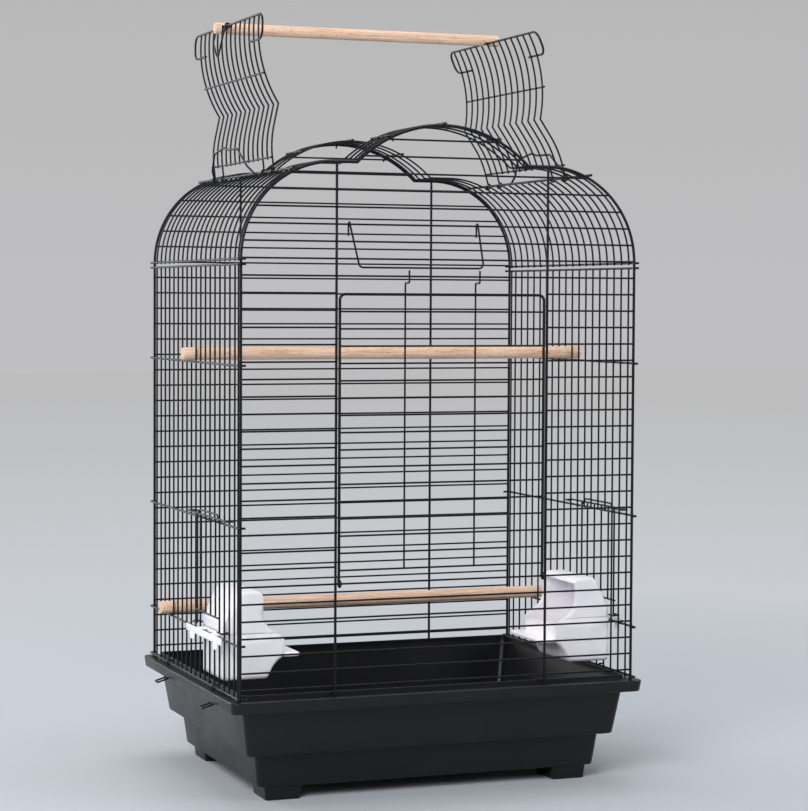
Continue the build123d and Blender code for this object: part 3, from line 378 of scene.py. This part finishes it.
# Up the inside: the floor, the lower wall, the step and the upper wall.
inside = [at(120, 17.4), at(43.4, 17.4), at(38.9, 53.9), at(26.9, 53.9), at(17.9, 112.0)]
# Over the lip, out to the rim's edge, down its turned edge and back up underneath.
over_the_rim = [at(17.9, 117.5), at(15.9, 117.5), at(15.9, 112.5), at(0, 112.5),
                at(1.6, 100.5), at(4.0, 100.5), at(2.4, 110.1), at(15.5, 110.1)]
# Down the outside: the upper wall, the step, the lower wall and the underside.
outside = [at(24.5, 51.5), at(36.5, 51.5), at(41, 15), at(120, 15)]
fillets = np.array([5, 4, 3, 3, 0.8, 0.8, 1.2, 1.6, 1.0, 1.0, 1.2, 1.2, 2.2, 3.0, 2.5]) * MM
profile = soften(inside + over_the_rim + outside, fillets, steps=5)


def tray_corner(half_x):
    """Corner radius of a ring: 9 mm at the rim, a little less further in."""
    return float(np.clip(0.009 - (RIM_HALF[0] - half_x) * 0.15, 0.0066, 0.009))


FOOT_HALF = np.array([0.0205, 0.024])
FOOT_CENTRE = np.array([0.1655, 0.113])
# How far each ring of a foot stands in, and its height: from under the floor to its sole.
foot_steps = [(0.0, 16.2), (0.0, 15.0), (1.5, 0.0), (9.0, 0.0)]
foot_profile = soften([[*(FOOT_HALF - inset * MM), z * MM] for inset, z in foot_steps],
                      [0.3 * MM, 1.4 * MM], steps=5)


def foot_corner(half_x):
    """Corner radius of a foot's ring: 3 mm, and less where the ring is small."""
    return min(0.003, half_x * 0.3)


tray_shapes = [loft(profile, tray_corner)]
for corner_side in ((-1, -1), (-1, 1), (1, -1), (1, 1)):
    tray_shapes.append(loft(foot_profile, foot_corner, FOOT_CENTRE * corner_side))
tray = make_piece("moulded_tray", *joined(tray_shapes), styrene, "cage", "tray_plastic",
                  ["base_tray"])
face_outwards(tray)

# %% [markdown]
# ## The feeder cups and hoods
#
# Each feeder is a thin-walled cup whose front sweeps outwards in a hollow curve to a short
# upright wall, and a hood whose cheeks are cut away in front. They could be hollowed out of
# blocks, but an even wall is easier as a sheet. It is laid along a band (back, floor and
# front for the cup, back and top for the hood) and bent up to the rim at both sides;
# Solidify then gives it the wall's thickness.

# %% Feeder surfaces
# Where the cups' backs stand, and the feeders' middle and half width from front to back.
CUP_BACK_X = 0.2234
FEEDER_Y = -0.0724
FEEDER_HALF = 0.043
CUP_WALL = 1.8 * MM


def resample(points, count):
    """Evenly spaced points along a polyline, by the length walked along it."""
    points = np.asarray(points, float)
    walked = np.concatenate([[0], np.cumsum(np.linalg.norm(np.diff(points, axis=0), axis=1))])
    places = np.linspace(0, walked[-1], count)
    along = [np.interp(places, walked, points[:, k]) for k in range(points.shape[1])]
    return np.stack(along, axis=1)


def trough(band, rim, half_width, corner, side, arc_steps=7, cheek_steps=4):
    """A sheet that runs across a band and turns up to a rim on both sides.

    At each station the sheet goes down the cheek from the rim, round a quarter circle of
    the corner's radius, across the band, and up the other cheek the same way.
    """
    cheek = rim - band
    length = np.linalg.norm(cheek, axis=1, keepdims=True)
    direction = cheek / np.maximum(length, 1e-9)
    radius = np.minimum(corner, length * 0.45)
    angle = np.linspace(0, np.pi / 2, arc_steps)[None, :]
    lift = radius * (1 - np.sin(angle))
    inward = radius * (1 - np.cos(angle))
    up = np.linspace(1, 0, cheek_steps, endpoint=False)[None, :]
    cheek_lift = radius + (length - radius) * up
    lifts = np.concatenate([cheek_lift, lift], axis=1)
    across = np.concatenate([np.zeros_like(cheek_lift), inward], axis=1) - half_width
    lifts = np.concatenate([lifts, lifts[:, ::-1]], axis=1)
    across = np.concatenate([across, -across[:, ::-1]], axis=1)
    depth = band[:, :1] + direction[:, :1] * lifts
    height = band[:, 1:] + direction[:, 1:] * lifts
    x = side * (CUP_BACK_X - depth)
    points = np.stack([x, FEEDER_Y + across, RIM_Z + height], axis=2)
    rows, columns = points.shape[:2]
    return points.reshape(-1, 3), grid_faces(rows, columns)


def arc_through(start, middle, end, count=10):
    """Points on the parabola that leaves start, passes middle halfway and ends at end."""
    start, middle, end = [np.asarray(p, float) for p in (start, middle, end)]
    control = 2 * middle - (start + end) / 2
    t = np.linspace(0, 1, count)[:, None]
    return (1 - t) ** 2 * start + 2 * t * (1 - t) * control + t ** 2 * end


# Millimetres of depth into the cage, and of height above the tray's rim.
BACK_TOP, BACK_FOOT, FLOOR_END = (0, 61.7), (0, 13), (45, 13)
KNEE_END, WAIST_END, CUP_LIP, CHEEK_TOP = (49.5, 17.5), (65.5, 36), (65.5, 55), (58.5, 61.7)
HOOD_FOOT, MOUTH_FOOT, MOUTH_TOP, BROW = (0, 62.3), (58.5, 62.3), (42, 81), (42, 101)
STATIONS = 40

knee = arc_through(FLOOR_END, (48.2, 14.3), KNEE_END, 5)
waist = arc_through(KNEE_END, (55.8, 28.4), WAIST_END, 12)
cup_band = np.concatenate([[BACK_TOP, BACK_FOOT], knee, waist[1:], [CUP_LIP]]) * MM
cup_rim = np.array([BACK_TOP, CHEEK_TOP, CUP_LIP]) * MM
mouth = arc_through(MOUTH_FOOT, (47.75, 69.15), MOUTH_TOP)
hood_band = np.array([HOOD_FOOT, (0, 72), (13, 101), (19, 107), (36, 107), (40.2, 105.2),
                      BROW]) * MM
hood_rim = np.concatenate([mouth, [BROW]]) * MM
print("cup depth", CUP_LIP[0], "mm, hood height", hood_band[:, 1].max() / MM, "mm")


def slab(low, high, corner, edge, steps=4):
    """A plate with rounded corners and edges, lofted along its thinnest direction.

    Each face starts an edge's radius inside the outline and swells out along a quarter
    circle, so every ring is a rounded rectangle in the two wide directions.
    """
    low, high = np.minimum(low, high), np.maximum(low, high)
    size = high - low
    thin = int(np.argmin(size))
    wide = [axis for axis in range(3) if axis != thin]
    turn = np.linspace(0, np.pi / 2, steps)
    inset = edge * (1 - np.sin(turn))
    level = edge * (1 - np.cos(turn))
    insets = np.concatenate([inset, inset[::-1]])
    levels = np.concatenate([low[thin] + level, (high[thin] - level)[::-1]])
    centre = (low + high) / 2
    rings = []
    for step_in, step_level in zip(insets, levels):
        ring = rounded_ring(size[wide[0]] / 2 - step_in, size[wide[1]] / 2 - step_in,
                            max(corner - step_in, 0.1 * MM), arc_steps=6, side_steps=1)
        points = np.empty((len(ring), 3))
        points[:, wide] = ring + centre[wide]
        points[:, thin] = step_level
        rings.append(points)
    columns = len(rings[0])
    faces = grid_faces(len(rings), columns, close_columns=True)
    last = (len(rings) - 1) * columns
    faces += [list(range(columns))[::-1], list(range(last, last + columns))]
    return np.concatenate(rings), faces


def beside_panel(side, depths, ys, heights, corner, edge):
    """A slab in millimetres of depth into the cage, Y from the feeder's middle and height."""
    low = (side * (CUP_BACK_X - depths[0] * MM), FEEDER_Y + ys[0] * MM, RIM_Z + heights[0] * MM)
    high = (side * (CUP_BACK_X - depths[1] * MM), FEEDER_Y + ys[1] * MM, RIM_Z + heights[1] * MM)
    return slab(np.array(low), np.array(high), corner * MM, edge * MM)


# %% Cup and hood shells
# Each shell's band and rim, and the radius of its long corners.
SHELLS = (("cup", cup_band, cup_rim, 5 * MM), ("hood", hood_band, hood_rim, 4 * MM))


def feeder_shells(name, side):
    """The cup and the hood of one side, each a sheet thickened towards its inside."""
    for part, band, rim, corner in SHELLS:
        sheet = trough(resample(band, STATIONS), resample(rim, STATIONS), FEEDER_HALF, corner,
                       side)
        shell = make_piece(f"{name}_{part}_shell", *sheet, milky, f"{name}_feeder_{part}_body",
                           "feeder_plastic", [f"{name}_feeder_{part}"])
        face_outwards(shell)
        wall = shell.modifiers.new("wall", "SOLIDIFY")
        wall.thickness = CUP_WALL
        wall.offset = -1.0


# %% [markdown]
# A perching lip stands out from the cup's front. Outside the wires a flange with two tabs
# hangs the cup on the panel, and two bridges join it to the cup between the wires. All are
# plain plates, so one rounded slab makes each of them.

# %% Perching lip, flange, bridges and tabs
PERCHING_LIP = {"depths": (64.2, 84), "ys": (-43, 43), "heights": (36, 40), "corner": 6,
                "edge": 1.4}
FLANGE = {"depths": (-12.2, -10), "ys": (-65, 65), "heights": (54.4, 61.9), "corner": 1.5,
          "edge": 0.8}
BRIDGE = {"depths": (-10.5, 1.2), "heights": (59.5, 61.9), "corner": 0.8, "edge": 0.6}
BRIDGE_MIDDLE, BRIDGE_HALF = 27.15, 4.5
TAB = {"depths": (-12.2, -10), "heights": (47.4, 55.0), "corner": 2.5, "edge": 0.8}
TAB_MIDDLE, TAB_HALF = 43.5, 7


def feeder_trim(name, side):
    """The plates of one side's cup as one piece."""
    plates = [beside_panel(side, **PERCHING_LIP), beside_panel(side, **FLANGE)]
    for end in (-1, 1):
        bridge, tab = end * BRIDGE_MIDDLE, end * TAB_MIDDLE
        plates.append(beside_panel(side, ys=(bridge - BRIDGE_HALF, bridge + BRIDGE_HALF),
                                   **BRIDGE))
        plates.append(beside_panel(side, ys=(tab - TAB_HALF, tab + TAB_HALF), **TAB))
    trim = make_piece(f"{name}_cup_shelf_and_flange", *joined(plates), milky,
                      f"{name}_feeder_cup_body", "feeder_plastic")
    face_outwards(trim)


for name, side in (("left", -1), ("right", 1)):
    feeder_shells(name, side)
    feeder_trim(name, side)

# %% [markdown]
# ## The perches
#
# A turned dowel is a row of circles along X. A plain cylinder would do, but real ones are
# never quite even, so the radius falls short by up to a quarter of a millimetre in slow
# waves, and the ends are rounded as sandpaper leaves them.


# %% Turned dowels
LONG_WAVE, SHORT_WAVE = 31.0, 83.0


def dowel(low, high, wobble=0.12 * MM, around=48, along=90, end_radius=1.2 * MM):
    """Circles along X between two corners of a box, their radius falling to a rounded end."""
    radius = (high[2] - low[2]) / 2
    centre_y, centre_z = (low[1] + high[1]) / 2, (low[2] + high[2]) / 2
    inner = np.linspace(low[0] + end_radius, high[0] - end_radius, along)
    bend = np.linspace(0, np.pi / 2, 5)[1:]
    x = np.concatenate([(low[0] + end_radius * (1 - np.sin(bend)))[::-1], inner,
                        high[0] - end_radius * (1 - np.sin(bend))])
    drop = np.concatenate([(end_radius * (1 - np.cos(bend)))[::-1], np.zeros(along),
                           end_radius * (1 - np.cos(bend))])
    long_wave = 0.6 * np.sin(x * LONG_WAVE + low[1] * 90)
    short_wave = 0.4 * np.sin(x * SHORT_WAVE + 1.7)
    ripple = wobble * (long_wave + short_wave) - wobble
    angle = np.linspace(0, 2 * np.pi, around, endpoint=False)
    r = (radius - drop + ripple)[:, None]
    points = np.stack([np.broadcast_to(x[:, None], (len(x), around)),
                       centre_y + r * np.cos(angle), centre_z + r * np.sin(angle)], axis=2)
    faces = grid_faces(len(x), around, close_columns=True)
    last = (len(x) - 1) * around
    faces += [list(range(around))[::-1], list(range(last, last + around))]
    return points.reshape(-1, 3), faces


for node in ("upper_perch", "lower_perch"):
    low, high = [np.array(corner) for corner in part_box(node)]
    piece = make_piece(f"{node}_dowel", *dowel(low, high), beech, f"{node}_body", "perch_wood",
                       [node])
    face_outwards(piece)

# %% [markdown]
# ## Dressing the drawn wires
#
# The wire pieces keep their drawn shapes, because a bent wire has no edge that a moulding
# would soften. They only get the enamel, and the play perch gets the beech.

# %% Materials for the drawn pieces
for name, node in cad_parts.items():
    if not node.data.materials:
        node.data.materials.append(None)
    wood = name.endswith("_perch")
    for index in range(len(node.data.materials)):
        node.data.materials[index] = beech if wood else enamel
print("dressed", len(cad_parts), "drawn pieces")

# %% [markdown]
# ## Floor, backdrop and light
#
# The cage stands in a studio with a pale grey floor that melts into the backdrop. Close to
# the cage the floor is a real surface that takes shadows; further off it fades to the
# colour of the background, so no horizon shows. Four large soft lamps light the cage: the
# main one high at the front left, a weaker one at the front right, one above, and a low
# one behind on the left. The surround is darker on the camera's side and brighter behind,
# and the camera itself sees a plain backdrop in its place.

# %% Studio floor
FLOOR_HALF = 14.0
FADE_FROM, FADE_TO = 0.75, 1.7
FAR_END = 10.0
floor_material, tree, out = new_material("studio_floor_paper")
coords = add_node(tree, "ShaderNodeTexCoord").outputs["Object"]
reach = add_node(tree, "ShaderNodeVectorMath", {0: coords}, operation="LENGTH")
distance = add_node(tree, "ShaderNodeMapRange",
                    {"Value": reach.outputs["Value"], "From Min": 0.0, "From Max": FAR_END})
# The floor's colour as the camera sees it further off, by its distance from the cage.
far_colour = colour_ramp(tree, distance.outputs["Result"],
                         [(0.08, "#cdd2d8"), (0.25, "#c6c9cd"), (0.55, "#c0c1c4"),
                          (1.0, "#bdbdbe")])
paper = add_node(tree, "ShaderNodeBsdfDiffuse", {"Color": linear("#bbc0c5")})
glow = add_node(tree, "ShaderNodeEmission", {"Color": far_colour, "Strength": 1.0})
fade = add_node(tree, "ShaderNodeMapRange",
                {"Value": reach.outputs["Value"], "From Min": FADE_FROM, "From Max": FADE_TO})
path = add_node(tree, "ShaderNodeLightPath")
seen = add_node(tree, "ShaderNodeMath",
                {0: path.outputs["Is Camera Ray"], 1: fade.outputs["Result"]}, operation="MULTIPLY")
blend = add_node(tree, "ShaderNodeMixShader",
                 {0: seen.outputs["Value"], 1: paper.outputs["BSDF"], 2: glow.outputs["Emission"]})
tree.links.new(blend.outputs["Shader"], out.inputs["Surface"])
floor_mesh = bpy.data.meshes.new("studio_floor")
corners = np.array([(-1, -1), (1, -1), (1, 1), (-1, 1)]) * FLOOR_HALF
floor_mesh.from_pydata([(x, y, 0.0) for x, y in corners.tolist()], [], [(0, 1, 2, 3)])
floor_mesh.materials.append(floor_material)
floor = bpy.data.objects.new("studio_floor", floor_mesh)
bpy.context.scene.collection.objects.link(floor)
print("floor fades from", FADE_FROM, "to", FADE_TO, "m")

# %% Surround
HAZE_TOP = 0.13
FRONT_DARK, BACK_BRIGHT = -0.55, 0.25
world = bpy.data.worlds.new("studio_surround")
bpy.context.scene.world = world
world.use_nodes = True
tree = world.node_tree
tree.nodes.clear()
direction = add_node(tree, "ShaderNodeTexCoord").outputs["Generated"]
parts = add_node(tree, "ShaderNodeSeparateXYZ", {"Vector": direction})
height = add_node(tree, "ShaderNodeMapRange",
                  {"Value": parts.outputs["Z"], "From Min": 0.0, "From Max": HAZE_TOP})
backdrop = colour_ramp(tree, height.outputs["Result"], [(0.0, "#bfbfc1"), (1.0, "#b8b8b8")])
shown = add_node(tree, "ShaderNodeBackground", {"Color": backdrop, "Strength": 1.0})
depth = add_node(tree, "ShaderNodeMapRange",
                 {"Value": parts.outputs["Y"], "From Min": FRONT_DARK, "From Max": BACK_BRIGHT})
room = colour_ramp(tree, depth.outputs["Result"], [(0.0, "#8d8e92"), (1.0, "#bcbdc0")])
ambient = add_node(tree, "ShaderNodeBackground", {"Color": room, "Strength": 1.0})
path = add_node(tree, "ShaderNodeLightPath")
either = add_node(tree, "ShaderNodeMath",
                  {0: path.outputs["Is Camera Ray"], 1: path.outputs["Is Transmission Ray"]},
                  operation="MAXIMUM")
mix = add_node(tree, "ShaderNodeMixShader",
               {0: either.outputs["Value"], 1: ambient.outputs["Background"],
                2: shown.outputs["Background"]})
world_out = tree.nodes.new("ShaderNodeOutputWorld")
tree.links.new(mix.outputs["Shader"], world_out.inputs["Surface"])
print(world.name, "nodes", len(tree.nodes))


# %% Lamps
def soft_lamp(name, place, target, size, power, colour):
    """A square area lamp at a place, turned towards a target."""
    data = bpy.data.lights.new(name, "AREA")
    data.shape = "SQUARE"
    data.size = size
    data.energy = power
    data.color = linear(colour)[:3]
    lamp = bpy.data.objects.new(name, data)
    lamp.visible_camera = False
    bpy.context.scene.collection.objects.link(lamp)
    heading = (Vector(target) - Vector(place)).to_track_quat("-Z", "Y")
    lamp.matrix_world = Matrix.Translation(place) @ heading.to_matrix().to_4x4()
    print(name, power, "W")


WHITE, COOL_WHITE = "#ffffff", "#f4f7ff"
CAGE_MIDDLE, BELOW_MIDDLE, ABOVE_TRAY = (0, 0, 0.35), (0, 0, 0.3), (0, 0, 0.2)
soft_lamp("softbox_left", (-2.0, -2.2, 1.8), CAGE_MIDDLE, 1.6, 84, WHITE)
soft_lamp("softbox_right", (2.6, -2.0, 1.6), CAGE_MIDDLE, 1.6, 31, COOL_WHITE)
soft_lamp("softbox_top", (0.2, 0.6, 3.0), BELOW_MIDDLE, 2.2, 36, WHITE)
soft_lamp("softbox_back_left", (-1.7, 2.4, 0.9), ABOVE_TRAY, 1.2, 28, WHITE)
